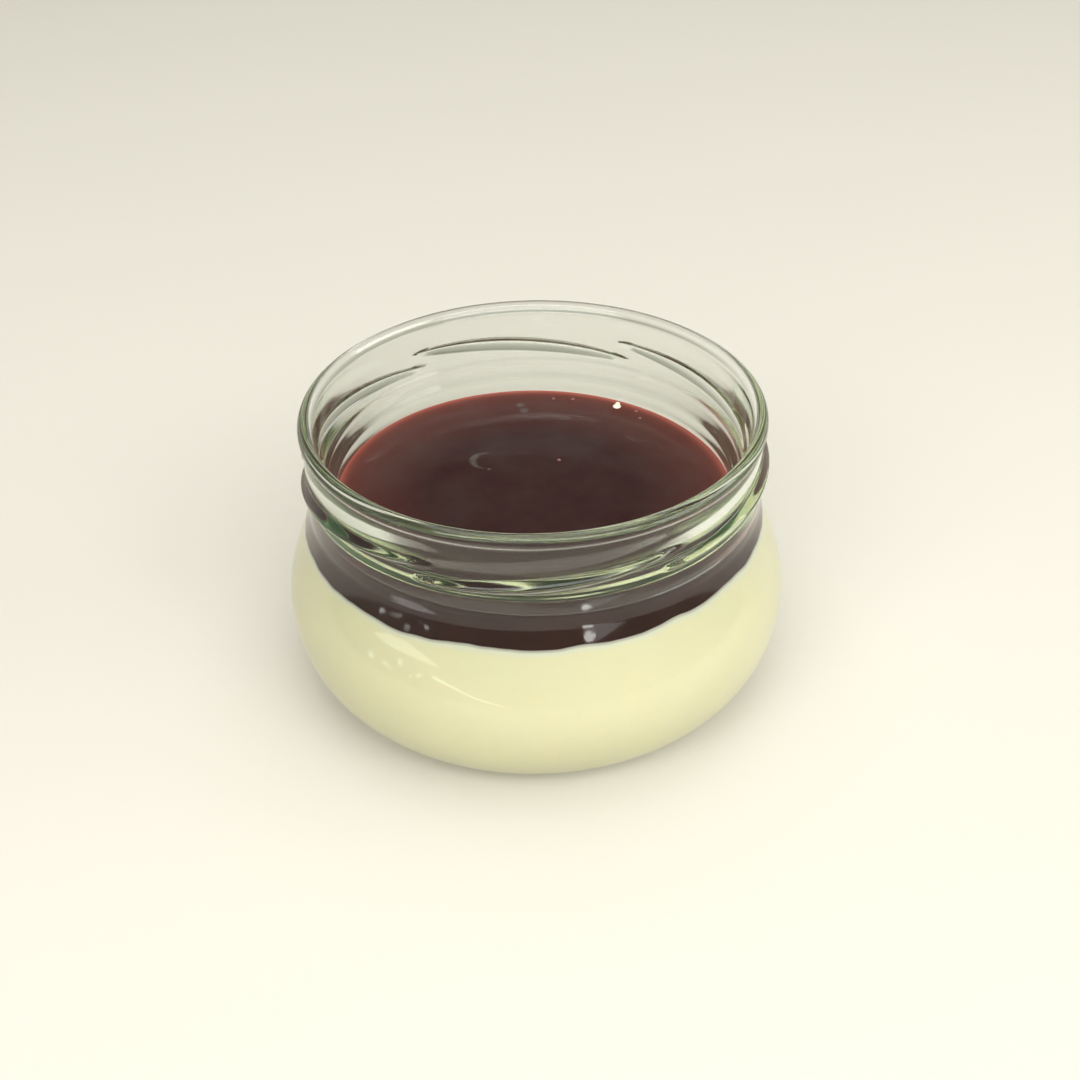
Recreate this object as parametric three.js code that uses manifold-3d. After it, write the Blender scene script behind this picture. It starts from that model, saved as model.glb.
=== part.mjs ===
// A panna cotta with a berry sauce, in the small twist-off jar that it is served in.
// Millimetres, +Z up. The jar stands on z = 0 with its axis on the Z axis, and its front faces -Y.

import * as THREE from 'three';
import { mergeVertices } from 'three/addons/utils/BufferGeometryUtils.js';
import Module from 'manifold-3d';

const wasm = await Module();
wasm.setup();

// ---- Driving dimensions ----

const SEGMENTS = 66;            // facets round the axis

const jar = {
  height: 53,
  bellyRadius: 44,              // widest part of the body
  bellyHeight: 18.5,
  footInner: 25,                // flat bearing ring that touches the table
  footOuter: 27.2,
  puntHeight: 2.2,              // pushed-up middle of the underside
  neckRadius: 39.2,
  neckFoot: 35.7,               // where the shoulder meets the upright neck
  mouthRadius: 37.4,            // inside of the neck, just under the rim
  midBoreRadius: 35.9,          // inside of the neck, where its taper steepens
  midBoreHeight: 43.3,
  throatRadius: 34.3,           // narrowest inside, at the foot of the neck
  throatHeight: 36.8,
  wall: 3.0,                    // glass thickness at the belly
  floorRadius: 25,
  floorHeight: 3.5,             // top of the glass base, at its edge
  floorCrown: 1.2,              // rise of the base's top towards the middle
};

const rim = {
  beadRadius: 1.35,             // rounded lip
  overhang: 0.6,                // how far the lip stands out from the neck
  innerDrop: 1.7,               // depth of the rounding on the inner side
};

const lug = {
  count: 6,
  span: 66,                     // degrees that one lug covers
  middleAngle: 3.5,             // of the front lug, from -Y towards +X
  middleHeight: 43.95,
  rise: 3.4,                    // from its low end to its high end
  halfHeight: 1.8,
  proud: 1.4,                   // how far it stands out from the neck
  rootDepth: 0.5,               // how far its section's middle lies inside the wall
  steps: 16,
  sides: 12,
};

const fill = {
  creamLevel: 30.3,             // height of the cream's top on the axis
  creamTilt: 0.9,               // degrees: the cream set a little higher on the right
  sauceLevel: 35.9,             // height of the sauce's top on the axis
  sauceTilt: -1.1,              // degrees: the sauce set a little higher on the left
  clearance: 0.3,               // gap kept between neighbouring solids
};

// ---- Materials ----

const glassMaterial = new THREE.MeshStandardMaterial({
  color: 0xd3d9c8,
  roughness: 0.05,
  metalness: 0,
  transparent: true,
  opacity: 0.35,
});

const creamMaterial = new THREE.MeshStandardMaterial({
  color: 0xede6b9,
  roughness: 0.35,
  metalness: 0,
});

const sauceMaterial = new THREE.MeshStandardMaterial({
  color: 0x4a2a2a,
  roughness: 0.12,
  metalness: 0,
});

// ---- Profiles, as points of (radius, height) ----

function arc(centreRadius, centreHeight, radiusX, radiusY, fromDegrees, toDegrees, steps) {
  const from = THREE.MathUtils.degToRad(fromDegrees);
  const to = THREE.MathUtils.degToRad(toDegrees);
  const clockwise = to < from;
  const curve = new THREE.EllipseCurve(
    centreRadius, centreHeight, radiusX, radiusY, from, to, clockwise,
  );
  return curve.getPoints(steps);
}

function bezier(start, startPull, endPull, end, steps) {
  const points = [start, startPull, endPull, end].map(([r, z]) => new THREE.Vector2(r, z));
  return new THREE.CubicBezierCurve(...points).getPoints(steps);
}

function outerBody() {
  const { bellyRadius, bellyHeight, footOuter, neckRadius, neckFoot } = jar;
  const lower = bezier(
    [footOuter, 0],
    [footOuter + 7.5, 0],
    [bellyRadius, bellyHeight - 13.4],
    [bellyRadius, bellyHeight],
    10,
  );
  const upper = bezier(
    [bellyRadius, bellyHeight],
    [bellyRadius, bellyHeight + 5.4],
    [neckRadius + 1.3, neckFoot - 6.3],
    [neckRadius, neckFoot],
    8,
  );
  return [...lower, ...upper.slice(1)];
}

function rimTop() {
  const { height, neckRadius, mouthRadius } = jar;
  const { beadRadius, overhang, innerDrop } = rim;
  const apexRadius = neckRadius + overhang - beadRadius;
  const bead = arc(apexRadius, height - beadRadius, beadRadius, beadRadius, -45, 90, 6);
  const inner = arc(
    apexRadius, height - innerDrop, apexRadius - mouthRadius, innerDrop, 90, 180, 4,
  );
  const underBead = new THREE.Vector2(neckRadius, height - 2 * beadRadius);
  return [underBead, ...bead, ...inner.slice(1)];
}

// The inside of the jar, from just under the rim down to the middle of its floor.
function cavityProfile(inset = 0) {
  const { bellyRadius, bellyHeight, wall, floorRadius, floorHeight, floorCrown } = jar;
  const { midBoreRadius, midBoreHeight, throatRadius, throatHeight } = jar;
  const inside = bellyRadius - wall - inset;
  const throat = throatRadius - inset;
  const floor = floorHeight + inset;
  const neck = new THREE.Vector2(midBoreRadius - inset, midBoreHeight);
  const upper = bezier(
    [throat, throatHeight],
    [throat, throatHeight - 3.4],
    [inside, bellyHeight + 8],
    [inside, bellyHeight],
    8,
  );
  const lower = bezier(
    [inside, bellyHeight],
    [inside, bellyHeight - 10],
    [floorRadius + 11 - inset, floor],
    [floorRadius - inset, floor],
    8,
  );
  const middle = new THREE.Vector2(0, floor + floorCrown);
  return [neck, ...upper, ...lower.slice(1), middle];
}

function jarProfile() {
  const { footInner, puntHeight } = jar;
  const punt = [
    new THREE.Vector2(0, puntHeight),
    new THREE.Vector2(footInner * 0.55, puntHeight * 0.75),
    new THREE.Vector2(footInner, 0),
  ];
  return [...punt, ...outerBody(), ...rimTop(), ...cavityProfile()];
}

// ---- Solids ----

function lathe(profile) {
  return new THREE.LatheGeometry(profile, SEGMENTS).rotateX(Math.PI / 2);
}

function toManifold(geometry) {
  const bare = geometry.clone();
  bare.deleteAttribute('normal');
  bare.deleteAttribute('uv');
  const merged = mergeVertices(bare, 1e-4);
  const index = merged.index.array;
  const triangles = [];
  for (let i = 0; i < index.length; i += 3) {
    const [a, b, c] = index.subarray(i, i + 3);
    if (a !== b && b !== c && c !== a) {
      triangles.push(a, b, c);
    }
  }
  const mesh = new wasm.Mesh({
    numProp: 3,
    vertProperties: new Float32Array(merged.attributes.position.array),
    triVerts: new Uint32Array(triangles),
  });
  return new wasm.Manifold(mesh);
}

function toGeometry(manifold) {
  const mesh = manifold.getMesh();
  const geometry = new THREE.BufferGeometry();
  geometry.setAttribute('position', new THREE.BufferAttribute(mesh.vertProperties, 3));
  geometry.setIndex(new THREE.BufferAttribute(mesh.triVerts, 1));
  geometry.computeVertexNormals();
  return geometry;
}

// One lug: a cylinder bent round the neck, climbing to the right and pointed at both ends.
function lugGeometry(middleAngle) {
  const geometry = new THREE.CylinderGeometry(1, 1, 1, lug.sides, lug.steps);
  const position = geometry.attributes.position;
  const centreRadius = jar.neckRadius - lug.rootDepth;
  for (let i = 0; i < position.count; i += 1) {
    const along = position.getY(i);
    const taper = Math.sqrt(Math.max(1 - (2 * along) ** 2, 0.01));
    const radius = centreRadius + position.getX(i) * (lug.proud + lug.rootDepth) * taper;
    const angle = THREE.MathUtils.degToRad(middleAngle + along * lug.span);
    const height = lug.middleHeight + along * lug.rise + position.getZ(i) * lug.halfHeight * taper;
    position.setXYZ(i, radius * Math.sin(angle), -radius * Math.cos(angle), height);
  }
  return geometry;
}

function jarGeometry() {
  let solid = toManifold(lathe(jarProfile()));
  for (let i = 0; i < lug.count; i += 1) {
    const angle = lug.middleAngle + i * 360 / lug.count;
    solid = solid.add(toManifold(lugGeometry(angle)));
  }
  return toGeometry(solid);
}

// A block wide enough to cut the whole filling, with its tilted top through (0, 0, level).
function blockBelow(level, tilt) {
  const size = 4 * jar.bellyRadius;
  const block = new THREE.BoxGeometry(size, size, size);
  block.translate(0, 0, -size / 2);
  block.rotateY(-THREE.MathUtils.degToRad(tilt));
  block.translate(0, 0, level);
  return toManifold(block);
}

// What fills the jar up to its mouth, clear of the glass.
function fillingCore() {
  const { clearance } = fill;
  const top = new THREE.Vector2(jar.midBoreRadius - clearance, jar.height);
  const centre = new THREE.Vector2(0, jar.height);
  const profile = [centre, top, ...cavityProfile(clearance)].reverse();
  return toManifold(lathe(profile));
}

function creamGeometry() {
  const { creamLevel, creamTilt } = fill;
  return toGeometry(fillingCore().intersect(blockBelow(creamLevel, creamTilt)));
}

function sauceGeometry() {
  const { creamLevel, creamTilt, sauceLevel, sauceTilt, clearance } = fill;
  const upTo = fillingCore().intersect(blockBelow(sauceLevel, sauceTilt));
  return toGeometry(upTo.subtract(blockBelow(creamLevel + clearance, creamTilt)));
}

// ---- The model ----

function piece(name, geometry, material) {
  const mesh = new THREE.Mesh(geometry, material);
  mesh.name = name;
  return mesh;
}

const pannaCotta = new THREE.Group();
pannaCotta.add(
  piece('jar', jarGeometry(), glassMaterial),
  piece('panna_cotta', creamGeometry(), creamMaterial),
  piece('berry_sauce', sauceGeometry(), sauceMaterial),
);

export default pannaCotta;
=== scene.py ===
"""A panna cotta with a berry sauce, in the small twist-off jar that it is served in."""

import math

import bmesh
import bpy
from bpy.props import FloatProperty, FloatVectorProperty, IntProperty, PointerProperty
from mathutils import Euler, Matrix, Vector, noise


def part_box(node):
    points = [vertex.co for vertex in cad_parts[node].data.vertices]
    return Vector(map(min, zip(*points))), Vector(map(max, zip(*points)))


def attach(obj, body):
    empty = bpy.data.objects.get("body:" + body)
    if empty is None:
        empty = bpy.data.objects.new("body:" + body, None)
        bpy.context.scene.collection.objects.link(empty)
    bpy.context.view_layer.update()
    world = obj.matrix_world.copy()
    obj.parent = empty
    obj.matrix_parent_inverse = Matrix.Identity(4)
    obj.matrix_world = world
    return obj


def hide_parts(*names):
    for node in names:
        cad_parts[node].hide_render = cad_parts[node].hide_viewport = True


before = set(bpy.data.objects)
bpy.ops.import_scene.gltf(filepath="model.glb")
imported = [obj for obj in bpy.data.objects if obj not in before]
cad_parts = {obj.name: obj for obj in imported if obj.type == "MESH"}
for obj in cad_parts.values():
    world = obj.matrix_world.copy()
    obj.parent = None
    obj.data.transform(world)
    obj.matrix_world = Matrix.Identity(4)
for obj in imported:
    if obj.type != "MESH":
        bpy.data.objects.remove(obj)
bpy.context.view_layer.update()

bl_info = {
    "name": "Panna Cotta Jar",
    "version": (1, 0, 0),
    "blender": (4, 5, 0),
    "location": "3D View > Sidebar > Panna Cotta",
    "description": "Builds a jar of panna cotta with a berry sauce on a plain studio floor",
    "category": "Object",
}

MM = 0.001
_, JAR_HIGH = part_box("jar")

# The jar
LUG_TAPER = 0.58            # higher makes the lugs more pointed at their ends
LUG_SHARPNESS = 1.47        # of a lug's section: 1 is a wedge and 2 is evenly rounded
LUG_ZONE = 2 * MM           # height above and below the lugs' middle that has the finest rows of faces
LUG_TURN_SHARE = 0.45       # share of the turn from lug to lug, each way from a middle, where rows follow it
NECK_ROWS = (14, 38, 12)    # rows of faces on the neck below the lugs' zone, in it and above it
# Waves inside the neck: number round the jar, turn for each metre of height, share of the size, and start.
WALL_WAVES = ((5, 260, 1, 0), (11, -410, 0.7, 1.3))
WALL_WAVE_SIZE = 0.04 * MM
WALL_WAVE_FADE = 3 * MM     # height over which the waves fade out at the throat and under the rim

# The cream and the sauce
CREAM_BORDER = 3.0 * MM     # depth under the cream's top that follows its tilt and waves
CREAM_BORDER_ROWS = 14
CREAM_TOP_RINGS = (0, 0.3, 0.6, 0.8, 0.92, 0.97, 0.99)  # as shares of its radius
EDGE_SHARE = "edge_share"   # attribute of the cream: 0 below its border and 1 at its top edge
# How fine the waves of the cream's edge are, where in the noise they lie, and their share of the height.
EDGE_WAVES = ((4.6, (3.1, 0.4, 7.7), 1), (13, (1.2, 5.3, 2.9), 0.4))
SAUCE_INSET = 0.02 * MM     # keeps the sauce's side behind the cream's where they overlap
SAUCE_OVERLAP = 1.4 * MM    # how far the sauce runs down behind the cream's edge
SAUCE_TOP_RINGS = 24
SAUCE_STILL = 0.8           # share of the sauce's radius inside which its tilt doesn't widen it
SAUCE_PAINTED_SHEEN = 0.12         # how far the painted sheen on the sauce's top goes towards the smears' colour
# The thin sauce at the glass is redder, and the light coming through it is painted into its edge colour.
# Distance from the glass in millimetres, and how much of the bright edge colour is left there.
SAUCE_FADE = ((0, 1.0), (0.4, 0.66), (0.9, 0.4), (1.6, 0.25), (3, 0.17), (6, 0.11), (10, 0.06), (16, 0.0))
# The pale marks are partly smears and partly painted highlights of a dent and of tiny bubbles.
# Place on the sauce, radius and softness in millimetres of pale marks: inside the first, not the second.
SMEARS_AND_HIGHLIGHTS = (
    ((-8.9, 9.6, 2.9, 0.5), (-7.7, 9.4, 3.1, 0.7)),
    ((-2.4, 29.3, 1.0, 0.5), (-3.4, 29.9, 0.6, 0.4)),
    ((-1.7, 27.2, 1.1, 0.5), (-2.9, 26.9, 0.7, 0.4)),
    ((-8.0, 6.7, 0.5, 0.4), (-8.4, 6.7, 0.2, 0.2)),
)
# Place on the sauce and radius in millimetres, and kind, of its bubbles and specks.
BUBBLES = (
    ((15.8, 28.6), 0.78, "froth"),
    ((16.0, 29.7), 0.45, "froth"),
    ((19.3, 26.9), 0.42, "sheen"),
    ((19.9, 24.3), 0.34, "sheen"),
    ((4.5, 9.7), 0.36, "sheen"),
    ((3.9, 31.6), 0.34, "sheen"),
    ((7.6, 31.4), 0.4, "sheen"),
)
BUBBLE_HEIGHT = 0.45        # as a share of its radius
# The pale bubbles' colour is a painted glint, standing in for the light that they catch.
BUBBLE_COLOURS = {"froth": (0.80, 0.76, 0.56), "sheen": (0.16, 0.06, 0.05)}

# The floor, in metres
FLOOR_RADIUS = 3
GLASS_FLOOR_RADII = (0.05, 2)   # of the ring of floor that only shows through the glass
GLASS_FLOOR_LIFT = 0.5 * MM

# Cards round the jar that only show as reflections, in millimetres and in degrees from the front
CARD_STEPS = 8              # faces in each section of a card
DARK_CARD_RADIUS = 160
DARK_CARD_HEIGHT = 34
DARK_CARD_REACH = 110       # degrees each way from the front
DARK_CARD_COLOUR = (0.30, 0.30, 0.27)
# Bright cards that make glints: name, radius, (angle, low edge, high edge) sections and strength.
GLINTS = (
    (
        "shoulder_glint_card",
        48,
        ((12.2, 32.5, 32.8), (13.4, 32, 33.2), (16, 31.9, 33.45), (19, 32.3, 33.35), (26, 33, 33.05)),
        2.0,
    ),
    (
        "shoulder_core_card",
        47.6,
        ((12.5, 32.3, 32.7), (13.3, 32, 33), (14.5, 32.1, 32.9), (15.8, 32.5, 32.6)),
        10,
    ),
    (
        "streak_card",
        48,
        ((-45.5, 28.5, 28.7), (-41, 28, 29.5), (-35, 27.9, 29.7), (-30, 27.8, 29), (-25, 27.6, 27.8)),
        2.6,
    ),
    (
        "thin_streak_card",
        48,
        ((-26, 25.4, 26), (-20.6, 24.5, 24.9), (-14.7, 23.1, 23.4), (-6, 21.7, 21.8)),
        4,
    ),
)
SPARKLE_RADIUS = 130
SPARKLE_STRENGTH = 9
# Angle and height of the tiny cards that make sparkles, and their width in degrees and their own height.
SPARKLES = (
    (-64, 12, 2.4, 1.8),
    (-58.6, 13.0, 1.0, 0.8),
    (-56.8, 13.9, 1.6, 1.4),
    (-55, 12.4, 1.0, 1.0),
    (-51.3, 19.1, 2.0, 1.2),
    (-43, 17.9, 1.8, 1.6),
    (-46.5, 14.2, 0.8, 0.8),
)

# The lights, in metres
LIGHT_AIM = Vector((0, 0, 0.03))
LIGHT_DISTANCE = 0.95
OVERHEAD_PLACE = (0, 0.15, 0.95)
OVERHEAD_SIZE = (0.9, 0.9)
# Lights round the jar: name, degrees from the front towards +X, degrees up, size, and setting of the power.
LIGHTS = (
    ("front_softbox", 2, 38, (1.6, 1.0), "front_light"),
    ("front_strip", 2, 44, (1.6, 0.26), "strip_light"),
    ("side_softbox", 78, 16, (0.8, 0.5), "side_light"),
)
UNMIRRORED_LIGHT = "front_softbox"


# ---- Settings ----


class JarSettings(bpy.types.PropertyGroup):
    """Sizes and colour of the glass jar."""

    height: FloatProperty(
        name="Height", default=JAR_HIGH.z, unit="LENGTH",
        description="From the table to the top of the rim",
    )
    belly_radius: FloatProperty(
        name="Belly Radius", default=JAR_HIGH.y, unit="LENGTH",
        description="Outside radius at the widest part of the body",
    )
    belly_height: FloatProperty(
        name="Belly Height", default=18.5 * MM, unit="LENGTH",
        description="Height of the widest part above the table",
    )
    foot_inner: FloatProperty(
        name="Foot Inner Radius", default=25 * MM, unit="LENGTH",
        description="Inner radius of the flat ring that touches the table",
    )
    foot_outer: FloatProperty(
        name="Foot Outer Radius", default=27.2 * MM, unit="LENGTH",
        description="Outer radius of the flat ring that touches the table",
    )
    punt_height: FloatProperty(
        name="Punt Height", default=2.2 * MM, unit="LENGTH",
        description="How far the middle of the underside is pushed up",
    )
    neck_radius: FloatProperty(
        name="Neck Radius", default=39.2 * MM, unit="LENGTH",
        description="Outside radius of the upright neck",
    )
    neck_foot: FloatProperty(
        name="Neck Foot", default=35.7 * MM, unit="LENGTH",
        description="Height where the shoulder meets the neck",
    )
    mouth_radius: FloatProperty(
        name="Mouth Radius", default=37.4 * MM, unit="LENGTH",
        description="Inside radius of the neck just under the rim",
    )
    mid_bore_radius: FloatProperty(
        name="Middle Bore Radius", default=35.9 * MM, unit="LENGTH",
        description="Inside radius where the taper of the neck steepens",
    )
    mid_bore_height: FloatProperty(
        name="Middle Bore Height", default=43.3 * MM, unit="LENGTH",
        description="Height where the taper of the neck steepens",
    )
    throat_radius: FloatProperty(
        name="Throat Radius", default=34.3 * MM, unit="LENGTH",
        description="Narrowest inside radius, at the foot of the neck",
    )
    throat_height: FloatProperty(
        name="Throat Height", default=36.8 * MM, unit="LENGTH",
        description="Height of the narrowest inside",
    )
    wall: FloatProperty(
        name="Wall", default=3.0 * MM, unit="LENGTH",
        description="Glass thickness at the belly",
    )
    floor_radius: FloatProperty(
        name="Floor Radius", default=25 * MM, unit="LENGTH",
        description="Radius of the flat part of the inside floor",
    )
    floor_height: FloatProperty(
        name="Floor Height", default=3.5 * MM, unit="LENGTH",
        description="Height of the inside floor at its edge",
    )
    floor_crown: FloatProperty(
        name="Floor Crown", default=1.2 * MM, unit="LENGTH",
        description="Rise of the inside floor towards its middle",
    )
    bead_radius: FloatProperty(
        name="Bead Radius", default=1.35 * MM, unit="LENGTH",
        description="Radius of the rounded lip",
    )
    overhang: FloatProperty(
        name="Lip Overhang", default=0.6 * MM, unit="LENGTH",
        description="How far the lip stands out from the neck",
    )
    inner_drop: FloatProperty(
        name="Inner Rounding", default=1.7 * MM, unit="LENGTH",
        description="Depth of the rounding on the inner side of the rim",
    )
    steps: IntProperty(
        name="Steps", default=420, min=24,
        description="Faces round the jar",
    )
    tint: FloatVectorProperty(
        name="Glass Tint", default=(0.30, 0.63, 0.26), subtype="COLOR", min=0, max=1,
        description="Colour that thick glass takes on",
    )
    tint_density: FloatProperty(
        name="Tint Density", default=18,
        description="How quickly the glass takes on its tint, for each metre of path",
    )
    ring_height: FloatProperty(
        name="Inner Ring Height", default=42.0 * MM, unit="LENGTH",
        description="Height of the faint ring inside the neck",
    )
    ring_half: FloatProperty(
        name="Inner Ring Half Height", default=0.85 * MM, unit="LENGTH",
        description="Half of the height that the faint ring takes up",
    )
    ring_proud: FloatProperty(
        name="Inner Ring Proud", default=0.10 * MM, unit="LENGTH",
        description="How far the faint ring stands in from the wall",
    )
    step_height: FloatProperty(
        name="Step Height", default=40.2 * MM, unit="LENGTH",
        description="Height where the inside of the neck starts to step in to the throat",
    )
    step_foot: FloatProperty(
        name="Step Foot", default=38.3 * MM, unit="LENGTH",
        description="Height where the step ends and the throat runs straight down",
    )
    step_width: FloatProperty(
        name="Step Width", default=0.7 * MM, unit="LENGTH",
        description="How much wider the neck is above the step than the throat",
    )


class LugSettings(bpy.types.PropertyGroup):
    """The slanted ribs on the neck that a twist-off lid grips."""

    count: IntProperty(
        name="Count", default=6,
        description="Number of lugs round the neck",
    )
    span: FloatProperty(
        name="Span", default=math.radians(66), subtype="ANGLE",
        description="Angle that one lug covers",
    )
    middle_angle: FloatProperty(
        name="Middle Angle", default=math.radians(3.5), subtype="ANGLE",
        description="Angle of the front lug's middle from the front of the jar",
    )
    middle_height: FloatProperty(
        name="Middle Height", default=44.04 * MM, unit="LENGTH",
        description="Height of a lug's middle above the table",
    )
    rise: FloatProperty(
        name="Rise", default=3.4 * MM, unit="LENGTH",
        description="How far a lug climbs from its low end to its high end",
    )
    upper_height: FloatProperty(
        name="Upper Height", default=1.36 * MM, unit="LENGTH",
        description="From a lug's crest to its upper edge, at its middle",
    )
    lower_height: FloatProperty(
        name="Lower Height", default=1.5 * MM, unit="LENGTH",
        description="From a lug's crest to its lower edge, at its middle",
    )
    proud: FloatProperty(
        name="Proud", default=1.34 * MM, unit="LENGTH",
        description="How far a lug stands out from the neck",
    )


class FillingSettings(bpy.types.PropertyGroup):
    """Levels and colours of the cream and the sauce."""

    reach: FloatProperty(
        name="Reach", default=0.06 * MM, unit="LENGTH",
        description="How far the filling reaches into the glass, so that no air gap shows",
    )
    cream_level: FloatProperty(
        name="Cream Level", default=30.3 * MM, unit="LENGTH",
        description="Height of the cream's top on the axis",
    )
    cream_tilt: FloatProperty(
        name="Cream Tilt", default=math.radians(0.9), subtype="ANGLE",
        description="Slope of the cream's top, higher on the right",
    )
    sauce_level: FloatProperty(
        name="Sauce Level", default=35.9 * MM, unit="LENGTH",
        description="Height of the sauce's top on the axis",
    )
    sauce_tilt: FloatProperty(
        name="Sauce Tilt", default=math.radians(-1.1), subtype="ANGLE",
        description="Slope of the sauce's top, negative where the left is higher",
    )
    climb: FloatProperty(
        name="Edge Climb", default=0.15 * MM, unit="LENGTH",
        description="How far the sauce climbs the glass at its edge",
    )
    climb_width: FloatProperty(
        name="Edge Climb Width", default=1.3 * MM, unit="LENGTH",
        description="How far from the glass the sauce starts to climb",
    )
    wave: FloatProperty(
        name="Cream Edge Wave", default=0.5 * MM, unit="LENGTH",
        description="Height of the uneven scallops along the cream's edge",
    )
    steps: IntProperty(
        name="Steps", default=360, min=24,
        description="Faces round the filling",
    )
    cream_colour: FloatVectorProperty(
        name="Cream Colour", default=(0.95, 0.87, 0.60), subtype="COLOR", min=0, max=1,
        description="Colour of the set cream",
    )
    border_colour: FloatVectorProperty(
        name="Cream Border Colour", default=(0.88, 0.85, 0.69), subtype="COLOR", min=0, max=1,
        description="Colour of the cream just under the sauce",
    )
    stain_colour: FloatVectorProperty(
        name="Cream Stain Colour", default=(0.45, 0.40, 0.33), subtype="COLOR", min=0, max=1,
        description="Colour of the cream's very edge, where the sauce shows through it",
    )
    sauce_colour: FloatVectorProperty(
        name="Sauce Colour", default=(0.024, 0.007, 0.006), subtype="COLOR", min=0, max=1,
        description="Colour of the sauce in depth",
    )
    side_colour: FloatVectorProperty(
        name="Sauce Side Colour", default=(0.034, 0.014, 0.012), subtype="COLOR", min=0, max=1,
        description="Colour of the sauce where it lies against the glass",
    )
    film_colour: FloatVectorProperty(
        name="Sauce Film Colour", default=(0.18, 0.098, 0.078), subtype="COLOR", min=0, max=1,
        description="Colour of the sauce against the glass at the sides and back, where light comes through",
    )
    # Pale colour of the smears, also used for the painted sheen and painted highlights on the sauce.
    smear_and_sheen_colour: FloatVectorProperty(
        name="Smear And Sheen Colour", default=(0.085, 0.075, 0.062), subtype="COLOR", min=0, max=1,
        description="Colour of the pale smears on the sauce",
    )
    # Thin sauce at the glass, with the light coming through it painted in.
    lit_edge_colour: FloatVectorProperty(
        name="Sauce Lit Edge Colour", default=(0.32, 0.082, 0.056), subtype="COLOR", min=0, max=1,
        description="Colour of the sauce where it thins at the glass",
    )


class StageSettings(bpy.types.PropertyGroup):
    """Camera, floor and lights."""

    elevation: FloatProperty(
        name="Elevation", default=math.radians(34.86), subtype="ANGLE",
        description="Angle of the camera above the horizon",
    )
    roll: FloatProperty(
        name="Roll", default=math.radians(-1.10), subtype="ANGLE",
        description="Turn of the camera about its line of sight",
    )
    distance: FloatProperty(
        name="Distance", default=0.306, unit="LENGTH",
        description="From the camera to the point that it looks at",
    )
    target: FloatVectorProperty(
        name="Target", default=(0.00082, 0, 0.02514), subtype="TRANSLATION", unit="LENGTH",
        description="Point that the camera looks at",
    )
    lens: FloatProperty(
        name="Lens", default=57.16,
        description="Focal length in millimetres on a 36 mm sensor",
    )
    room_light: FloatProperty(
        name="Room Light", default=0.36,
        description="Strength of the even light from all round",
    )
    horizon_light: FloatProperty(
        name="Horizon Light", default=1.1,
        description="Strength of the light that comes in level",
    )
    front_share: FloatProperty(
        name="Front Share", default=0.6,
        description="How much of the light from all round is left straight in front",
    )
    room_colour: FloatVectorProperty(
        name="Room Colour", default=(1.0, 0.99, 0.93), subtype="COLOR", min=0, max=1,
        description="Colour of the light from all round",
    )
    overhead_light: FloatProperty(
        name="Overhead Light", default=4, unit="POWER",
        description="Power of the large soft light above",
    )
    front_light: FloatProperty(
        name="Front Light", default=12.8, unit="POWER",
        description="Power of the large soft light in front",
    )
    strip_light: FloatProperty(
        name="Strip Light", default=5, unit="POWER",
        description="Power of the narrow light in front, whose image runs along the rim and the lugs",
    )
    side_light: FloatProperty(
        name="Side Light", default=4, unit="POWER",
        description="Power of the soft light low on the right",
    )
    # Painted shade: where the floor shows through the glass it turns grey farther off, for the dimmer room
    # beyond.
    far_start: FloatProperty(
        name="Far Floor Start", default=0.085, unit="LENGTH",
        description="Distance behind the jar where the floor starts to turn grey in the glass",
    )
    far_end: FloatProperty(
        name="Far Floor End", default=0.25, unit="LENGTH",
        description="Distance behind the jar where the floor in the glass is all grey",
    )
    far_lean: FloatProperty(
        name="Far Floor Lean", default=0.5,
        description="How much nearer the grey starts on the left than behind the jar",
    )
    far_shade_colour: FloatVectorProperty(
        name="Far Floor Shade Colour", default=(0.33, 0.325, 0.265), subtype="COLOR", min=0, max=1,
        description="Colour of the far floor as it shows in the glass",
    )
    floor_colour: FloatVectorProperty(
        name="Floor Colour", default=(0.60, 0.575, 0.50), subtype="COLOR", min=0, max=1,
        description="Colour of the plain floor",
    )


# ---- Outlines, as lists of (radius, height) ----


def arc(centre, radius_x, radius_z, start, end, steps):
    """Points on an ellipse's arc, with its angles in degrees."""
    angles = [math.radians(start + (end - start) * i / steps) for i in range(steps + 1)]
    return [(centre[0] + radius_x * math.cos(a), centre[1] + radius_z * math.sin(a)) for a in angles]


def bezier(start, start_pull, end_pull, end, steps):
    """Points on a cubic curve."""
    points = []
    for i in range(steps + 1):
        t = i / steps
        weights = ((1 - t) ** 3, 3 * t * (1 - t) ** 2, 3 * t * t * (1 - t), t ** 3)
        knots = (start, start_pull, end_pull, end)
        points.append(tuple(sum(w * k[axis] for w, k in zip(weights, knots)) for axis in (0, 1)))
    return points


def straight(start, end, steps):
    """Points on a line, without its ends."""
    return [tuple(a + (b - a) * i / steps for a, b in zip(start, end)) for i in range(1, steps)]


def stepped_neck(jar, middle_bore, throat):
    """The inside of the neck between its two narrower places, with its faint ring and its soft step."""
    step = (throat[0] + jar.step_width, jar.step_height)
    wall = [middle_bore, step]
    ring = []
    half_rows = 5
    for i in range(2 * half_rows + 1):
        across = 1 - i / half_rows
        height = jar.ring_height + across * jar.ring_half
        proud = jar.ring_proud * (0.5 + 0.5 * math.cos(math.pi * across))
        ring.append((radius_at(wall, height) - proud, height))
    foot = (throat[0] + 0.12 * jar.step_width, jar.step_foot)
    drop = 0.35 * (jar.step_height - jar.step_foot)
    slope = (middle_bore[0] - step[0]) / (middle_bore[1] - step[1])
    soft_step = bezier(step, (step[0] - slope * drop, step[1] - drop), (foot[0], foot[1] + drop), foot, 8)
    return straight(middle_bore, ring[0], 2) + ring + straight(ring[-1], step, 3) + soft_step


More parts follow.
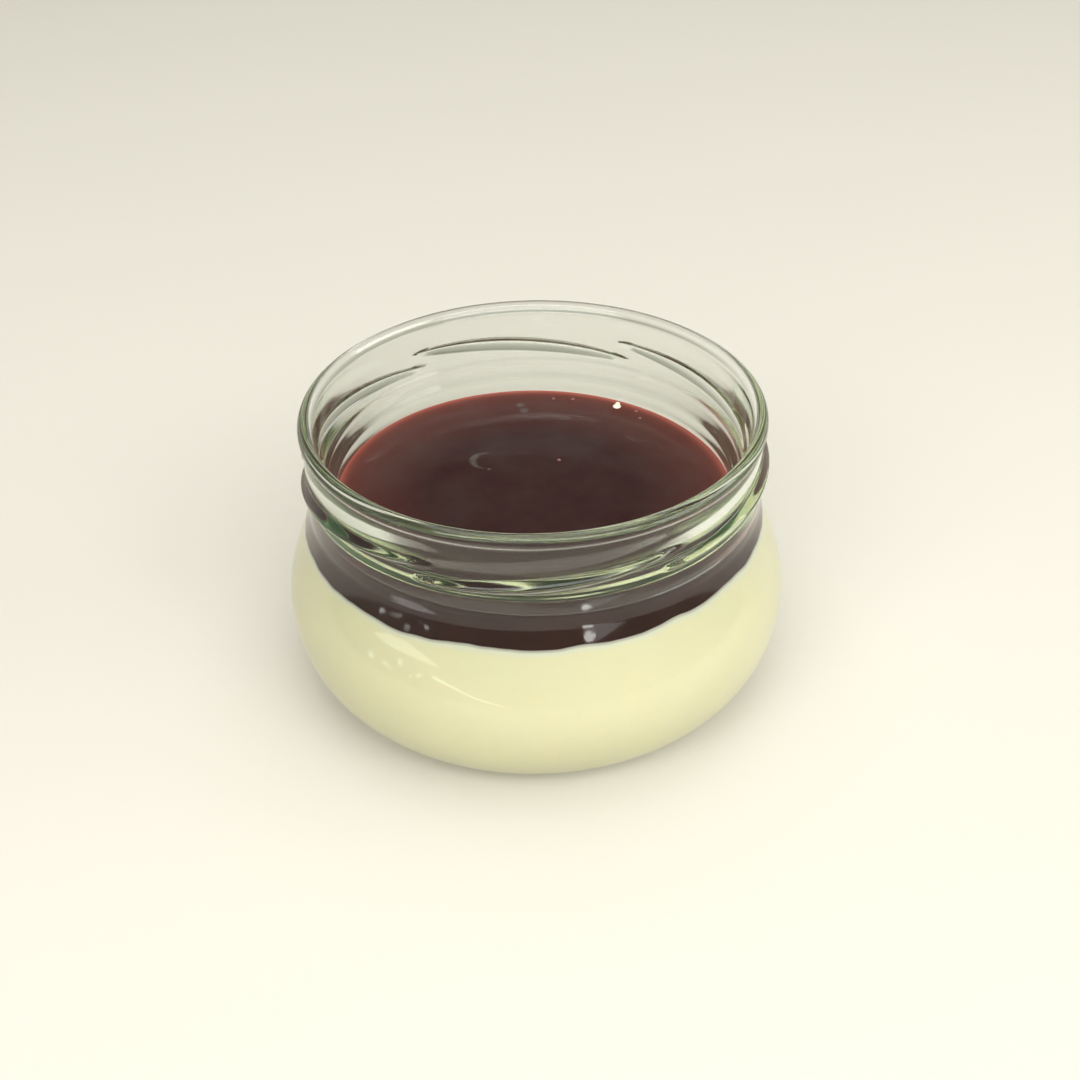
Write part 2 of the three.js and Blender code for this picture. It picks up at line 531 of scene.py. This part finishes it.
def cavity_outline(jar, reach=0.0):
    """The inside of the jar from under its rim to the middle of its floor."""
    inside = jar.belly_radius - jar.wall + reach
    throat = (jar.throat_radius + reach, jar.throat_height)
    middle_bore = (jar.mid_bore_radius + reach, jar.mid_bore_height)
    mouth = (jar.mouth_radius + reach, jar.height - jar.inner_drop)
    floor = jar.floor_height - reach
    upper_neck = [mouth] + straight(mouth, middle_bore, 10) + [middle_bore]
    lower_neck = stepped_neck(jar, middle_bore, throat)
    upper = bezier(
        throat,
        (throat[0], throat[1] - 3.4 * MM),
        (inside, jar.belly_height + 8 * MM),
        (inside, jar.belly_height),
        20,
    )
    lower = bezier(
        (inside, jar.belly_height),
        (inside, jar.belly_height - 10 * MM),
        (jar.floor_radius + 11 * MM + reach, floor),
        (jar.floor_radius + reach, floor),
        20,
    )
    middle = bezier(
        (jar.floor_radius + reach, floor),
        (jar.floor_radius * 0.65, floor),
        (jar.floor_radius * 0.35, floor + jar.floor_crown),
        (0, floor + jar.floor_crown),
        6,
    )
    return upper_neck + lower_neck + upper + lower[1:] + middle[1:]


def jar_outline(jar, lug):
    """The whole section of the jar, from the middle of its underside to that of its inside floor."""
    punt = bezier(
        (0, jar.punt_height),
        (jar.foot_inner * 0.6, jar.punt_height),
        (jar.foot_inner * 0.85, 0.35 * MM),
        (jar.foot_inner, 0),
        8,
    )
    lower = bezier(
        (jar.foot_outer, 0),
        (jar.foot_outer + 7.5 * MM, 0),
        (jar.belly_radius, jar.belly_height - 13.4 * MM),
        (jar.belly_radius, jar.belly_height),
        26,
    )
    upper = bezier(
        (jar.belly_radius, jar.belly_height),
        (jar.belly_radius, jar.belly_height + 5.4 * MM),
        (jar.neck_radius + 1.3 * MM, jar.neck_foot - 6.3 * MM),
        (jar.neck_radius, jar.neck_foot),
        22,
    )
    apex = jar.neck_radius + jar.overhang - jar.bead_radius
    bead = arc((apex, jar.height - jar.bead_radius), jar.bead_radius, jar.bead_radius, -45, 90, 14)
    inner = arc((apex, jar.height - jar.inner_drop), apex - jar.mouth_radius, jar.inner_drop, 90, 180, 10)
    under_bead = (jar.neck_radius, jar.height - 2 * jar.bead_radius)
    lug_low = (jar.neck_radius, lug.middle_height - LUG_ZONE)
    lug_high = (jar.neck_radius, lug.middle_height + LUG_ZONE)
    neck = []
    corners = (upper[-1], lug_low, lug_high, under_bead)
    for start, end, rows in zip(corners, corners[1:], NECK_ROWS):
        neck += straight(start, end, rows) + [end]
    return punt + lower + upper[1:] + neck + bead + inner[1:-1] + cavity_outline(jar)


def radius_at(outline, height):
    """The radius at a height of an outline that runs downwards."""
    for (upper, top), (lower, bottom) in zip(outline, outline[1:]):
        if bottom <= height <= top and top > bottom:
            return lower + (upper - lower) * (height - bottom) / (top - bottom)
    return outline[0][0]


# ---- Meshes ----


def lathe(outline, steps):
    """A bmesh of the outline spun round the Z axis."""
    bm = bmesh.new()
    points = [bm.verts.new((radius, 0, height)) for radius, height in outline]
    edges = [bm.edges.new(pair) for pair in zip(points, points[1:])]
    bmesh.ops.spin(
        bm, geom=points + edges, cent=(0, 0, 0), axis=(0, 0, 1), angle=math.tau, steps=steps, use_merge=True
    )
    bmesh.ops.remove_doubles(bm, verts=bm.verts, dist=0.0001 * MM)
    bmesh.ops.recalc_face_normals(bm, faces=bm.faces)
    return bm


def add_piece(name, bm, materials):
    """Makes an object of the bmesh at the origin, smooth, with its materials."""
    mesh = bpy.data.meshes.new(name)
    for face in bm.faces:
        face.smooth = True
    bm.to_mesh(mesh)
    bm.free()
    piece = bpy.data.objects.new(name, mesh)
    bpy.context.scene.collection.objects.link(piece)
    for material in materials:
        mesh.materials.append(material)
    return piece


def smooth_step(low, high, value):
    """0 below low and 1 above high, with a smooth climb between."""
    t = min(max((value - low) / (high - low), 0), 1)
    return t * t * (3 - 2 * t)


def angle_from_front(point):
    """Angle round the jar from the front, growing towards +X."""
    return math.atan2(point.x, -point.y)


def turn_between(angle, other):
    """The shorter turn from one angle to another, signed."""
    return (angle - other + math.pi) % math.tau - math.pi


def slanted_height(height, angle, lug):
    """Slides a height on the neck up or down, so that the rows of faces run along the nearest lug."""
    half_period = math.pi / lug.count
    turn = turn_between(angle * lug.count, lug.middle_angle * lug.count) / lug.count
    followed = LUG_TURN_SHARE * 2 * half_period
    slide = lug.rise * min(abs(turn), followed) / lug.span
    if abs(turn) > followed:
        slide *= (half_period - abs(turn)) / (half_period - followed)
    fade = 1 - smooth_step(LUG_ZONE, 3 * LUG_ZONE, abs(height - lug.middle_height))
    return height + math.copysign(slide, turn) * fade


def raise_lugs(bm, jar, lug):
    """Pushes the slanted ribs out of the neck's outer wall."""
    band = (jar.neck_foot + 0.5 * MM, jar.height - 2 * jar.bead_radius)
    for vert in bm.verts:
        radius = vert.co.xy.length
        if radius < jar.neck_radius - 0.5 * MM or not band[0] < vert.co.z < band[1]:
            continue
        angle = angle_from_front(vert.co)
        vert.co.z = slanted_height(vert.co.z, angle, lug)
        push = 0.0
        for k in range(lug.count):
            middle = lug.middle_angle + k * math.tau / lug.count
            along = turn_between(angle, middle) / lug.span
            if abs(along) >= 0.5:
                continue
            taper = (1 - (2 * along) ** 2) ** LUG_TAPER
            above = vert.co.z - lug.middle_height - along * lug.rise
            reach = lug.upper_height if above > 0 else lug.lower_height
            across = abs(above) / (reach * taper)
            if across < 1:
                push = max(push, lug.proud * taper * (1 - across ** LUG_SHARPNESS))
        vert.co.xy *= 1 + push / radius


def waver_wall(bm, jar):
    """Gives the inside of the neck the slight waves of moulded glass."""
    top = jar.height - jar.inner_drop
    for vert in bm.verts:
        radius = vert.co.xy.length
        if radius > jar.mouth_radius + 0.1 * MM or not jar.throat_height < vert.co.z < top:
            continue
        angle = angle_from_front(vert.co)
        height = vert.co.z - jar.throat_height
        wave = 0.0
        for turns, climb, size, start in WALL_WAVES:
            wave += size * math.sin(turns * angle + climb * height + start)
        fade = smooth_step(0, WALL_WAVE_FADE, height) * smooth_step(0, WALL_WAVE_FADE, top - vert.co.z)
        vert.co.xy *= 1 + WALL_WAVE_SIZE * wave * fade / radius


# ---- Materials ----


def add_node(tree, kind, inputs, **settings):
    """Makes a node, and gives each of its inputs a value of its own or a socket to read."""
    node = tree.nodes.new(kind)
    for name, value in settings.items():
        setattr(node, name, value)
    for name, value in inputs.items():
        socket = node.inputs[name]
        if isinstance(value, bpy.types.NodeSocket):
            tree.links.new(value, socket)
        elif socket.type == "RGBA":
            socket.default_value = (*value, 1)
        else:
            socket.default_value = value
    return node


def new_material(name):
    """An empty node material, and its node tree."""
    material = bpy.data.materials.new(name)
    material.use_nodes = True
    material.node_tree.nodes.clear()
    return material, material.node_tree


def add_surface(tree, inputs, shader="ShaderNodeBsdfPrincipled"):
    """Lays a shader with these inputs on the surface, and returns the output node."""
    node = add_node(tree, shader, inputs)
    return add_node(tree, "ShaderNodeOutputMaterial", {"Surface": node.outputs[0]})


def add_range(tree, value, low, high, start=0):
    """Climbs from start to 1 as the value goes from low to high, and is level outside them."""
    inputs = {"Value": value, "From Min": low, "From Max": high, "To Min": start}
    return add_node(tree, "ShaderNodeMapRange", inputs).outputs["Result"]


def mottle_group():
    """Soft uneven patches, between 0 and 1, for anything set or poured."""
    found = bpy.data.node_groups.get("soft mottle")
    if found:
        return found
    group = bpy.data.node_groups.new("soft mottle", "ShaderNodeTree")
    scale = group.interface.new_socket("Scale", in_out="INPUT", socket_type="NodeSocketFloat")
    scale.default_value = 60
    group.interface.new_socket("Patches", in_out="OUTPUT", socket_type="NodeSocketFloat")
    place = add_node(group, "ShaderNodeTexCoord", {}).outputs["Object"]
    size = add_node(group, "NodeGroupInput", {}).outputs["Scale"]
    inputs = {"Vector": place, "Scale": size, "Detail": 4, "Roughness": 0.55}
    clouds = add_node(group, "ShaderNodeTexNoise", inputs).outputs["Fac"]
    add_node(group, "NodeGroupOutput", {"Patches": add_range(group, clouds, low=0.3, high=0.7)})
    return group


def add_mottle(tree, scale):
    """Places the mottle group in a material and returns its output."""
    return add_node(tree, "ShaderNodeGroup", {"Scale": scale}, node_tree=mottle_group()).outputs["Patches"]


def add_ramp(tree, value, stops):
    """A colour ramp through (position, colour) stops, fed by value."""
    ramp = add_node(tree, "ShaderNodeValToRGB", {"Fac": value})
    elements = ramp.color_ramp.elements
    while len(elements) < len(stops):
        elements.new(0.5)
    for element, (position, colour) in zip(elements, stops):
        element.position = position
        element.color = (*colour, 1)
    return ramp.outputs["Color"]


def add_math(tree, operation, first, second):
    """A maths node on two sockets or numbers."""
    return add_node(tree, "ShaderNodeMath", {0: first, 1: second}, operation=operation).outputs["Value"]


def add_mix(tree, factor, first, second):
    """Mixes two colours, each a socket or a tuple."""
    inputs = {"Factor": factor, "A": first, "B": second}
    return add_node(tree, "ShaderNodeMix", inputs, data_type="RGBA").outputs["Result"]


def add_bump(tree, height, strength, distance):
    """A bump from a height socket."""
    inputs = {"Height": height, "Strength": strength, "Distance": distance}
    return add_node(tree, "ShaderNodeBump", inputs).outputs["Normal"]


def object_place(tree):
    """The point's x and y on the piece, in metres."""
    place = add_node(tree, "ShaderNodeTexCoord", {}).outputs["Object"]
    parts = add_node(tree, "ShaderNodeSeparateXYZ", {"Vector": place})
    return parts.outputs["X"], parts.outputs["Y"]


def add_length(tree, x, y):
    """The length of the line to x and y."""
    squares = add_math(tree, "ADD", add_math(tree, "MULTIPLY", x, x), add_math(tree, "MULTIPLY", y, y))
    return add_math(tree, "SQRT", squares, 0)


def tinted(colour, share):
    """A share of a colour: darker below 1 and lighter above it."""
    return tuple(share * channel for channel in colour)


def glass_material(jar):
    """Clear container glass with a faint green tint in its depth."""
    material, tree = new_material("jar glass")
    inputs = {"Base Color": (1, 1, 1), "Roughness": 0.085, "IOR": 1.52, "Transmission Weight": 1}
    output = add_surface(tree, inputs)
    depth = add_node(tree, "ShaderNodeVolumeAbsorption", {"Color": jar.tint, "Density": jar.tint_density})
    tree.links.new(depth.outputs["Volume"], output.inputs["Volume"])
    return material


def cream_material(filling):
    """Smooth set cream, a little translucent, with a paler line and a stain along its top edge."""
    material, tree = new_material("set cream")
    near_edge = add_node(tree, "ShaderNodeAttribute", {}, attribute_name=EDGE_SHARE).outputs["Fac"]
    body = add_mix(tree, add_mottle(tree, 45), filling.cream_colour, tinted(filling.cream_colour, 0.97))
    border = add_ramp(tree, near_edge, [(0.55, (0, 0, 0)), (0.82, (1, 1, 1))])
    pale = add_mix(tree, border, body, filling.border_colour)
    stain = add_ramp(tree, near_edge, [(0.82, (0, 0, 0)), (1, (1, 1, 1))])
    inputs = {
        "Base Color": add_mix(tree, stain, pale, filling.stain_colour),
        "Roughness": 0.6,
        "Specular IOR Level": 0,
        "Subsurface Weight": 0.35,
        "Subsurface Radius": (1.0, 0.8, 0.45),
        "Subsurface Scale": 2.5 * MM,
    }
    add_surface(tree, inputs)
    return material


def sauce_colours(tree, jar, filling):
    """Dark sauce, red where it thins at the glass, with painted light through the thin edge, least in front.
    """
    x, y = object_place(tree)
    share = add_math(tree, "DIVIDE", add_length(tree, x, y), jar.throat_radius)
    stops = []
    for depth, mix in SAUCE_FADE:
        colour = tuple(d + (e - d) * mix for d, e in zip(filling.sauce_colour, filling.lit_edge_colour))
        stops.insert(0, (1 - depth * MM / jar.throat_radius, colour))
    rim = add_ramp(tree, share, stops)
    # Painted light: the glow through the thin edge fades out towards the front.
    behind = add_range(tree, y, low=-22 * MM, high=-9 * MM, start=0.06)
    return add_mix(tree, behind, filling.sauce_colour, rim)


def add_disc(tree, x, y, disc):
    """1 inside a disc given by its middle, radius and softness in millimetres, and 0 outside it."""
    middle_x, middle_y, radius, soft = (length * MM for length in disc)
    across = add_math(tree, "SUBTRACT", x, middle_x)
    along = add_math(tree, "SUBTRACT", y, middle_y)
    return add_range(tree, add_length(tree, across, along), low=radius, high=radius - soft)


def add_smears_and_highlights(tree):
    """A mask of the pale marks on the sauce, partly smears and partly painted highlights, broken up a little.
    """
    x, y = object_place(tree)
    mask = None
    for disc, hole in SMEARS_AND_HIGHLIGHTS:
        outside = add_math(tree, "SUBTRACT", 1, add_disc(tree, x, y, hole))
        smear = add_math(tree, "MULTIPLY", add_disc(tree, x, y, disc), outside)
        mask = smear if mask is None else add_math(tree, "MAXIMUM", mask, smear)
    uneven = add_math(tree, "ADD", add_math(tree, "MULTIPLY", add_mottle(tree, 900), 0.7), 0.3)
    return add_math(tree, "MULTIPLY", mask, uneven)


def sauce_top_material(jar, filling):
    """The glossy jellied top of the sauce."""
    material, tree = new_material("sauce top")
    # Painted sheen: soft lighter clouds stand in for reflections on the sauce's top.
    clouds = add_math(tree, "MULTIPLY", add_mottle(tree, 110), SAUCE_PAINTED_SHEEN)
    with_painted_sheen = add_mix(tree, clouds, sauce_colours(tree, jar, filling), filling.smear_and_sheen_colour)
    inputs = {
        "Base Color": add_mix(tree, add_smears_and_highlights(tree), with_painted_sheen, filling.smear_and_sheen_colour),
        "Roughness": 0.12,
        "IOR": 1.38,
        "Specular IOR Level": 0.2,
        "Normal": add_bump(tree, add_mottle(tree, 70), strength=0.15, distance=0.3 * MM),
    }
    add_surface(tree, inputs)
    return material


def sauce_side_material(filling):
    """The sauce where it lies against the glass: dark in front, and redder where light comes through."""
    material, tree = new_material("sauce side")
    _, y = object_place(tree)
    front = add_mix(tree, add_mottle(tree, 90), filling.side_colour, tinted(filling.side_colour, 1.3))
    behind = add_range(tree, y, low=-13 * MM, high=-1 * MM)
    colour = add_mix(tree, behind, front, filling.film_colour)
    add_surface(tree, {"Base Color": colour, "Roughness": 0.5, "Specular IOR Level": 0})
    return material


def bubble_material(name, colour):
    """A small wet bubble."""
    material, tree = new_material(name)
    add_surface(tree, {"Base Color": colour, "Roughness": 0.15})
    return material


def floor_material(stage):
    """A plain pale floor with a barely uneven tone."""
    material, tree = new_material("plain floor")
    tone = add_mix(tree, add_mottle(tree, 6), stage.floor_colour, tinted(stage.floor_colour, 0.985))
    add_surface(tree, {"Base Color": tone, "Roughness": 0.7})
    return material


def glass_floor_material(stage):
    """The floor as it shows through the glass, with painted shade: greyer farther off, and sooner on the
    left.
    """
    material, tree = new_material("floor in the glass")
    x, y = object_place(tree)
    leaned = add_math(tree, "SUBTRACT", add_length(tree, x, y), add_math(tree, "MULTIPLY", x, stage.far_lean))
    # Painted shade: the floor in the glass greys with distance.
    distance = add_range(tree, leaned, low=stage.far_start, high=stage.far_end)
    tone = add_mix(tree, distance, stage.floor_colour, stage.far_shade_colour)
    add_surface(tree, {"Color": tone}, "ShaderNodeBsdfDiffuse")
    return material


def plain_material(name, colour):
    """An even matt surface for a studio card."""
    material, tree = new_material(name)
    add_surface(tree, {"Color": colour}, "ShaderNodeBsdfDiffuse")
    return material


def glow_material(name, strength, colour):
    """An evenly shining surface for a studio card."""
    material, tree = new_material(name)
    add_surface(tree, {"Color": colour, "Strength": strength}, "ShaderNodeEmission")
    return material


# ---- Operators ----


class PANNA_OT_jar(bpy.types.Operator):
    """Add the glass jar"""

    bl_idname = "panna.jar"
    bl_label = "Glass Jar"

    def execute(self, context):
        jar = context.scene.panna_jar
        lug = context.scene.panna_lug
        bm = lathe(jar_outline(jar, lug), jar.steps)
        raise_lugs(bm, jar, lug)
        waver_wall(bm, jar)
        piece = add_piece("jar_glass", bm, [glass_material(jar)])
        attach(piece, "root")
        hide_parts("jar")
        return {"FINISHED"}


def tilted(point, level, tilt):
    """The height of a tilted level above a point's x and y."""
    return level + point.x * math.tan(tilt)


def edge_wave(point, size):
    """The uneven edge of the cream: soft scallops a few millimetres long and finer ones on them."""
    round_jar = Vector((point.x, point.y, 0)).normalized()
    return size * sum(
        share * noise.noise(round_jar * fineness + Vector(place)) for fineness, place, share in EDGE_WAVES
    )


class PANNA_OT_cream(bpy.types.Operator):
    """Add the set cream that fills the jar's body"""

    bl_idname = "panna.cream"
    bl_label = "Set Cream"

    def execute(self, context):
        jar = context.scene.panna_jar
        filling = context.scene.panna_filling
        cavity = cavity_outline(jar, filling.reach)
        level = filling.cream_level
        border = [level - CREAM_BORDER * i / CREAM_BORDER_ROWS for i in range(CREAM_BORDER_ROWS)]
        rings = [(radius_at(cavity, height), height) for height in border]
        top = [(rings[0][0] * share, level) for share in CREAM_TOP_RINGS]
        side = [point for point in cavity if point[1] < border[-1] - 0.1 * MM]
        bm = lathe(top + rings + side, filling.steps)
        edge = bm.verts.layers.float.new(EDGE_SHARE)
        for vert in bm.verts:
            share = smooth_step(level - CREAM_BORDER, level, vert.co.z)
            vert[edge] = 1 - min((level - vert.co.z) / CREAM_BORDER, 1)
            if share == 0:
                continue
            old_wall = radius_at(cavity, vert.co.z)
            rise = tilted(vert.co, 0, filling.cream_tilt) + edge_wave(vert.co, filling.wave)
            vert.co.z += share * rise
            vert.co.xy *= radius_at(cavity, vert.co.z) / old_wall
        piece = add_piece("set_cream", bm, [cream_material(filling)])
        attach(piece, "root")
        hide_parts("panna_cotta")
        return {"FINISHED"}


class PANNA_OT_sauce(bpy.types.Operator):
    """Add the berry sauce on top of the cream"""

    bl_idname = "panna.sauce"
    bl_label = "Berry Sauce"

    def execute(self, context):
        jar = context.scene.panna_jar
        filling = context.scene.panna_filling
        cavity = cavity_outline(jar, filling.reach - SAUCE_INSET)
        level = filling.sauce_level
        bottom = filling.cream_level - SAUCE_OVERLAP
        bore = radius_at(cavity, level)
        still = SAUCE_STILL * bore
        flat = bore - filling.climb_width
        lowest_edge = level - bore * math.tan(abs(filling.sauce_tilt)) - SAUCE_INSET
        top = [(flat * i / SAUCE_TOP_RINGS, level) for i in range(SAUCE_TOP_RINGS)]
        climb = arc((flat, level + filling.climb), filling.climb_width, filling.climb, -90, 0, 8)
        side = [point for point in cavity if bottom < point[1] < lowest_edge]
        foot = [(radius_at(cavity, bottom), bottom), (0, bottom)]
        bm = lathe(top + climb + side + foot, filling.steps)
        for vert in bm.verts:
            if vert.co.z < level - SAUCE_INSET:
                continue
            vert.co.z += tilted(vert.co, 0, filling.sauce_tilt)
            radius = vert.co.xy.length
            if radius > still:
                widening = radius_at(cavity, vert.co.z) / bore - 1
                vert.co.xy *= 1 + widening * smooth_step(still, bore, radius)
        materials = [sauce_top_material(jar, filling), sauce_side_material(filling)]
        piece = add_piece("sauce_layer", bm, materials)
        for face in piece.data.polygons:
            edge = tilted(face.center, level - SAUCE_INSET, filling.sauce_tilt)
            face.material_index = 0 if face.center.z > edge else 1
        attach(piece, "root")
        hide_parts("berry_sauce")
        return {"FINISHED"}


class PANNA_OT_bubbles(bpy.types.Operator):
    """Add the small bubbles and specks on the sauce"""

    bl_idname = "panna.bubbles"
    bl_label = "Bubbles"

    def execute(self, context):
        filling = context.scene.panna_filling
        kinds = list(BUBBLE_COLOURS)
        bm = bmesh.new()
        for (x, y), radius, kind in BUBBLES:
            place = Vector((x, y, 0)) * MM
            place.z = tilted(place, filling.sauce_level, filling.sauce_tilt)
            made = bmesh.ops.create_uvsphere(
                bm,
                u_segments=20,
                v_segments=12,
                radius=radius * MM,
                matrix=Matrix.Translation(place) @ Matrix.Diagonal((1, 1, BUBBLE_HEIGHT, 1)),
            )
            for face in {face for vert in made["verts"] for face in vert.link_faces}:
                face.material_index = kinds.index(kind)
        materials = [bubble_material(name, colour) for name, colour in BUBBLE_COLOURS.items()]
        piece = add_piece("sauce_bubbles", bm, materials)
        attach(piece, "root")
        return {"FINISHED"}


def room_world(stage):
    """Light from all round: bright near the horizon, dimmer higher up and in front."""
    world = bpy.data.worlds.new("soft room")
    world.use_nodes = True
    tree = world.node_tree
    place = add_node(tree, "ShaderNodeTexCoord", {}).outputs["Generated"]
    parts = add_node(tree, "ShaderNodeSeparateXYZ", {"Vector": place})
    horizon = tinted(stage.room_colour, stage.horizon_light)
    above = tinted(stage.room_colour, stage.room_light)
    height = add_ramp(tree, parts.outputs["Z"], [(0, horizon), (0.55, above)])
    front = add_range(tree, parts.outputs["Y"], low=-0.85, high=-0.2, start=stage.front_share)
    background = tree.nodes["Background"]
    tree.links.new(height, background.inputs["Color"])
    tree.links.new(front, background.inputs["Strength"])
    return world


def light_place(angle, elevation):
    """A place round the jar: degrees from the front towards +X, and degrees up."""
    angle, elevation = math.radians(angle), math.radians(elevation)
    flat = math.cos(elevation)
    away = Vector((flat * math.sin(angle), -flat * math.cos(angle), math.sin(elevation)))
    return LIGHT_AIM + LIGHT_DISTANCE * away


def add_area_light(name, place, size, power):
    """A soft oblong light that faces the jar."""
    data = bpy.data.lights.new(name, "AREA")
    data.shape = "RECTANGLE"
    data.size, data.size_y = size
    data.energy = power
    light = bpy.data.objects.new(name, data)
    bpy.context.scene.collection.objects.link(light)
    light.location = place
    light.rotation_euler = (LIGHT_AIM - Vector(place)).to_track_quat("-Z", "Y").to_euler()
    return light


def hide_from(piece, *rays):
    """Keeps a card or a light out of sight of some kinds of ray."""
    for ray in rays:
        setattr(piece, "visible_" + ray, False)


def add_card(name, radius, sections, material):
    """An upright card round the jar through (angle from the front, low, high) sections, in millimetres."""
    bm = bmesh.new()
    lower, upper = [], []
    for (angle, low, high), (next_angle, next_low, next_high) in zip(sections, sections[1:]):
        for i in range(CARD_STEPS + 1):
            t = i / CARD_STEPS
            turn = math.radians(angle + (next_angle - angle) * t)
            x, y = radius * math.sin(turn), -radius * math.cos(turn)
            lower.append(bm.verts.new(Vector((x, y, low + (next_low - low) * t)) * MM))
            upper.append(bm.verts.new(Vector((x, y, high + (next_high - high) * t)) * MM))
    edges = []
    for row in (lower, upper):
        edges += [bm.edges.new(pair) for pair in zip(row, row[1:])]
    bmesh.ops.bridge_loops(bm, edges=edges)
    bmesh.ops.remove_doubles(bm, verts=bm.verts, dist=0.001 * MM)
    card = add_piece(name, bm, [material])
    hide_from(card, "camera", "diffuse", "transmission", "shadow")


def add_cards(stage):
    """The dark card and the bright ones, which only show as reflections."""
    dark = plain_material("dark card", DARK_CARD_COLOUR)
    ends = [(turn, 0, DARK_CARD_HEIGHT) for turn in (-DARK_CARD_REACH, DARK_CARD_REACH)]
    add_card("dark_card", DARK_CARD_RADIUS, ends, dark)
    for name, radius, sections, strength in GLINTS:
        add_card(name, radius, sections, glow_material(name + " light", strength, stage.room_colour))
    glow = glow_material("sparkle light", SPARKLE_STRENGTH, stage.room_colour)
    for number, (angle, middle, width, height) in enumerate(SPARKLES, 1):
        low, high = middle - height / 2, middle + height / 2
        ends = [(angle - width / 2, low, high), (angle + width / 2, low, high)]
        add_card(f"sparkle_card_{number}", SPARKLE_RADIUS, ends, glow)


def add_floor(stage):
    """The plain floor, and a ring on it that only shows through the glass."""
    bm = bmesh.new()
    bmesh.ops.create_circle(bm, cap_ends=True, segments=64, radius=FLOOR_RADIUS)
    floor = add_piece("floor", bm, [floor_material(stage)])
    bm = bmesh.new()
    edges = set()
    for radius in GLASS_FLOOR_RADII:
        circle = bmesh.ops.create_circle(bm, cap_ends=False, segments=96, radius=radius)
        edges.update(edge for vert in circle["verts"] for edge in vert.link_edges)
    bmesh.ops.bridge_loops(bm, edges=list(edges))
    bmesh.ops.translate(bm, verts=bm.verts, vec=(0, 0, GLASS_FLOOR_LIFT))
    ring = add_piece("glass_floor", bm, [glass_floor_material(stage)])
    hide_from(ring, "camera", "diffuse", "glossy", "shadow")


def add_camera(stage):
    """The camera in front, looking down at the jar."""
    data = bpy.data.cameras.new("camera")
    data.sensor_width = 36
    data.lens = stage.lens
    data.clip_start = 0.01
    camera = bpy.data.objects.new("camera", data)
    bpy.context.scene.collection.objects.link(camera)
    turn = Euler((math.pi / 2 - stage.elevation, 0, 0)).to_matrix().to_4x4()
    roll = Matrix.Rotation(stage.roll, 4, "Z")
    back = Vector((0, -math.cos(stage.elevation), math.sin(stage.elevation)))
    place = Matrix.Translation(Vector(stage.target) + back * stage.distance)
    camera.matrix_world = place @ turn @ roll
    return camera


class PANNA_OT_stage(bpy.types.Operator):
    """Add the floor, the lights and the camera"""

    bl_idname = "panna.stage"
    bl_label = "Studio"

    def execute(self, context):
        scene = context.scene
        stage = scene.panna_stage
        add_floor(stage)
        add_cards(stage)
        scene.world = room_world(stage)
        add_area_light("overhead", OVERHEAD_PLACE, OVERHEAD_SIZE, stage.overhead_light)
        for name, angle, elevation, size, power in LIGHTS:
            light = add_area_light(name, light_place(angle, elevation), size, getattr(stage, power))
            if name == UNMIRRORED_LIGHT:
                hide_from(light, "glossy")
        scene.camera = add_camera(stage)
        scene.view_settings.view_transform = "Standard"
        scene.cycles.max_bounces = 16
        scene.cycles.glossy_bounces = 12
        scene.cycles.transmission_bounces = 16
        return {"FINISHED"}


class PANNA_PT_panel(bpy.types.Panel):
    """Lists the pieces of the panna cotta"""

    bl_idname = "PANNA_PT_panel"
    bl_label = "Panna Cotta"
    bl_space_type = "VIEW_3D"
    bl_region_type = "UI"
    bl_category = "Panna Cotta"

    def draw(self, context):
        for operator in OPERATORS:
            self.layout.operator(operator.bl_idname)


OPERATORS = (PANNA_OT_jar, PANNA_OT_cream, PANNA_OT_sauce, PANNA_OT_bubbles, PANNA_OT_stage)
SETTINGS = {
    "panna_jar": JarSettings,
    "panna_lug": LugSettings,
    "panna_filling": FillingSettings,
    "panna_stage": StageSettings,
}


def register():
    for cls in (*SETTINGS.values(), *OPERATORS, PANNA_PT_panel):
        bpy.utils.register_class(cls)
    for name, cls in SETTINGS.items():
        setattr(bpy.types.Scene, name, PointerProperty(type=cls))


def unregister():
    for name in SETTINGS:
        delattr(bpy.types.Scene, name)
    for cls in (PANNA_PT_panel, *reversed(OPERATORS), *reversed(SETTINGS.values())):
        bpy.utils.unregister_class(cls)


def main():
    register()
    bpy.ops.panna.jar()
    bpy.ops.panna.cream()
    bpy.ops.panna.sauce()
    bpy.ops.panna.bubbles()
    bpy.ops.panna.stage()


if __name__ == "__main__":
    main()
